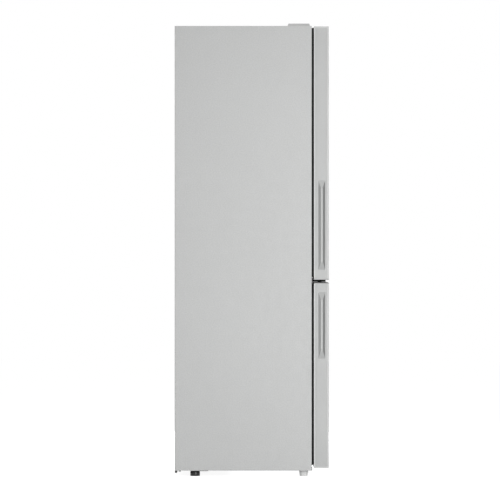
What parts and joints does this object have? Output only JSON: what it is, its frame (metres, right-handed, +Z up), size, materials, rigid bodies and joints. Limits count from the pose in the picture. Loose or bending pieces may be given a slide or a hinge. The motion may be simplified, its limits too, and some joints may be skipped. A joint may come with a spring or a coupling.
{
  "type": "refrigerator",
  "caption": "Tall free-standing silver refrigerator with a fridge door above a freezer door, side finger grips, drawers, shelves and a rear compressor niche.",
  "frame": {"origin": "on the floor, under the middle of the outline of cabinet and closed doors", "axes": "+Z up, doors face -Y, hinges on the +X side, width along X"},
  "size_m": [0.595, 0.63, 1.85],
  "materials": {
    "silver_paint": "satin powder coat",
    "silver_plastic": "satin moulded",
    "zinc_sheet": "galvanised sheet",
    "black_sheet": "black paint",
    "foam": "rigid foam",
    "white_liner": "satin vacuum-formed sheet",
    "gasket": "soft extrusion",
    "shelf_glass": "clear toughened glass",
    "white_trim": "moulded",
    "clear_tub": "clear moulded",
    "black_plastic": "moulded",
    "grey_plastic": "moulded",
    "black_rubber": "moulded",
    "compressor_paint": "semi-gloss black paint",
    "copper": "drawn tube",
    "fin_metal": "thin sheet",
    "hinge_steel": "zinc plated",
    "lamp_lens": "frosted"
  },
  "bodies": {
    "cabinet": {"side_panel_left": "silver_paint", "side_panel_right": "silver_paint", "top_panel": "silver_paint", "back_panel": "zinc_sheet", "base_pan": "zinc_sheet", "front_rail": "silver_paint", "mullion_rail": "silver_paint", "mullion_blank": "black_plastic", "insulation_foam": "foam", "fridge_liner": "white_liner", "freezer_liner": "white_liner", "compressor_base_plate": "black_sheet", "rear_feet": "black_plastic", "compressor_grommets": "black_rubber", "compressor_shell": "compressor_paint", "compressor_terminal_cover": "black_plastic", "drip_tray": "grey_plastic", "refrigerant_pipes": "copper", "evaporator": "fin_metal", "evaporator_cover": "white_trim", "fan_motor": "black_plastic", "glass_shelf_1": "shelf_glass", "glass_shelf_2": "shelf_glass", "glass_shelf_3": "shelf_glass", "glass_shelf_4": "shelf_glass", "shelf_trims": "white_trim", "air_duct": "white_trim", "control_panel": "white_trim", "lamp_lens": "lamp_lens", "top_hinge": "hinge_steel", "middle_hinge": "hinge_steel", "bottom_hinge": "hinge_steel", "hinge_screws": "hinge_steel", "hinge_cover_right": "silver_plastic", "hinge_cover_left": "silver_plastic"},
    "upper_door": {"upper_door_skin": "silver_paint", "upper_door_grip": "silver_plastic", "upper_door_top_cap": "silver_plastic", "upper_door_bottom_cap": "silver_plastic", "upper_door_foam": "foam", "upper_door_liner": "white_liner", "upper_door_gasket": "gasket", "door_bin_1": "clear_tub", "door_bin_2": "clear_tub", "door_bin_3": "clear_tub"},
    "lower_door": {"lower_door_skin": "silver_paint", "lower_door_grip": "silver_plastic", "lower_door_top_cap": "silver_plastic", "lower_door_bottom_cap": "silver_plastic", "lower_door_foam": "foam", "lower_door_liner": "white_liner", "lower_door_gasket": "gasket"},
    "crisper": {"crisper_drawer": "clear_tub"},
    "drawer_top": {"freezer_drawer_top": "clear_tub"},
    "drawer_middle": {"freezer_drawer_middle": "clear_tub"},
    "drawer_bottom": {"freezer_drawer_bottom": "clear_tub"},
    "fan": {"fan_rotor": "black_plastic"},
    "foot_left": {"front_foot_left": "grey_plastic"},
    "foot_right": {"front_foot_right": "grey_plastic"}
  },
  "joints": [
    {"name": "upper_door_hinge", "type": "hinge", "parent": "cabinet", "child": "upper_door", "pos_m": [0.28, -0.285, 1.3205], "axis": [0, 0, 1], "range_deg": [0, 120]},
    {"name": "lower_door_hinge", "type": "hinge", "parent": "cabinet", "child": "lower_door", "pos_m": [0.28, -0.285, 0.412], "axis": [0, 0, 1], "range_deg": [0, 120]},
    {"name": "crisper_slide", "type": "slide", "parent": "cabinet", "child": "crisper", "axis": [0, -1, 0], "range_m": [0, 0.189]},
    {"name": "drawer_top_slide", "type": "slide", "parent": "cabinet", "child": "drawer_top", "axis": [0, -1, 0], "range_m": [0, 0.1576]},
    {"name": "drawer_middle_slide", "type": "slide", "parent": "cabinet", "child": "drawer_middle", "axis": [0, -1, 0], "range_m": [0, 0.1576]},
    {"name": "drawer_bottom_slide", "type": "slide", "parent": "cabinet", "child": "drawer_bottom", "axis": [0, -1, 0], "range_m": [0, 0.1576]},
    {"name": "fan_spin", "type": "hinge", "parent": "cabinet", "child": "fan", "pos_m": [0, 0.173, 0.67775], "axis": [0, -1, 0], "continuous": true},
    {"name": "foot_left_turn", "type": "hinge", "parent": "cabinet", "child": "foot_left", "pos_m": [-0.2555, -0.2125, 0], "axis": [0, 0, 1], "continuous": true},
    {"name": "foot_right_turn", "type": "hinge", "parent": "cabinet", "child": "foot_right", "pos_m": [0.2555, -0.2125, 0], "axis": [0, 0, 1], "continuous": true}
  ],
  "couplings": [
    {"joint": "crisper_slide", "follows": "upper_door_hinge", "m_per_rad": 0.09},
    {"joint": "drawer_top_slide", "follows": "lower_door_hinge", "m_per_rad": 0.075},
    {"joint": "drawer_middle_slide", "follows": "lower_door_hinge", "m_per_rad": 0.075},
    {"joint": "drawer_bottom_slide", "follows": "lower_door_hinge", "m_per_rad": 0.075}
  ]
}
